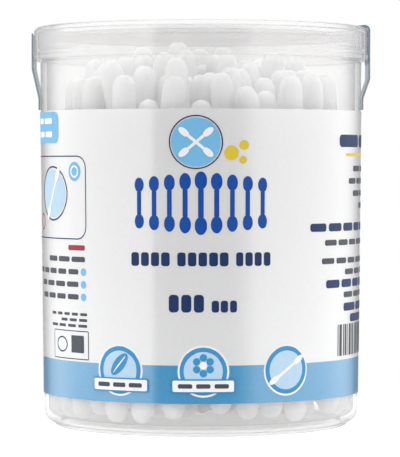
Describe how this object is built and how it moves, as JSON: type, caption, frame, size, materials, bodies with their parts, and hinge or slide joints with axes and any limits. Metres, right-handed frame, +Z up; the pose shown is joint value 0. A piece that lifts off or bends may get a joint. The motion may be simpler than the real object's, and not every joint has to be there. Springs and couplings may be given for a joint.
{
  "type": "cotton swab tub",
  "caption": "Round clear plastic tub with a snap lid, wrap-around label and tape seals, filled with loose double-ended cotton swabs.",
  "frame": {"origin": "middle of the footprint at the foot ring, on the surface that the tub stands on", "axes": "+Z up along the tub's axis, -Y towards the label's front, +X to the viewer's right"},
  "size_m": [0.0728, 0.0724, 0.0854],
  "materials": {
    "tub_plastic": "clear moulded polypropylene",
    "lid_plastic": "clear moulded polypropylene",
    "label_film": "printed satin film, white with a blue band",
    "tape_film": "clear adhesive tape",
    "stick_plastic": "white extruded polypropylene",
    "cotton": "wound cotton fibre"
  },
  "bodies": {
    "tub": {"tub": "tub_plastic", "label": "label_film", "swab_sticks_01": "stick_plastic", "swab_sticks_02": "stick_plastic", "swab_sticks_03": "stick_plastic", "swab_sticks_04": "stick_plastic", "swab_sticks_05": "stick_plastic", "swab_sticks_06": "stick_plastic", "swab_sticks_07": "stick_plastic", "swab_sticks_08": "stick_plastic", "swab_sticks_09": "stick_plastic", "swab_sticks_10": "stick_plastic", "upper_cotton_tips_01": "cotton", "upper_cotton_tips_02": "cotton", "upper_cotton_tips_03": "cotton", "upper_cotton_tips_04": "cotton", "upper_cotton_tips_05": "cotton", "upper_cotton_tips_06": "cotton", "upper_cotton_tips_07": "cotton", "upper_cotton_tips_08": "cotton", "upper_cotton_tips_09": "cotton", "upper_cotton_tips_10": "cotton", "lower_cotton_tips_01": "cotton", "lower_cotton_tips_02": "cotton", "lower_cotton_tips_03": "cotton", "lower_cotton_tips_04": "cotton", "lower_cotton_tips_05": "cotton", "lower_cotton_tips_06": "cotton", "lower_cotton_tips_07": "cotton", "lower_cotton_tips_08": "cotton", "lower_cotton_tips_09": "cotton", "lower_cotton_tips_10": "cotton"},
    "lid": {"lid": "lid_plastic", "seal_tape_left": "tape_film", "seal_tape_right": "tape_film"}
  },
  "joints": [
    {"name": "lid_lift", "type": "slide", "parent": "tub", "child": "lid", "axis": [0, 0, 1], "range_m": [0, 0.05]}
  ]
}
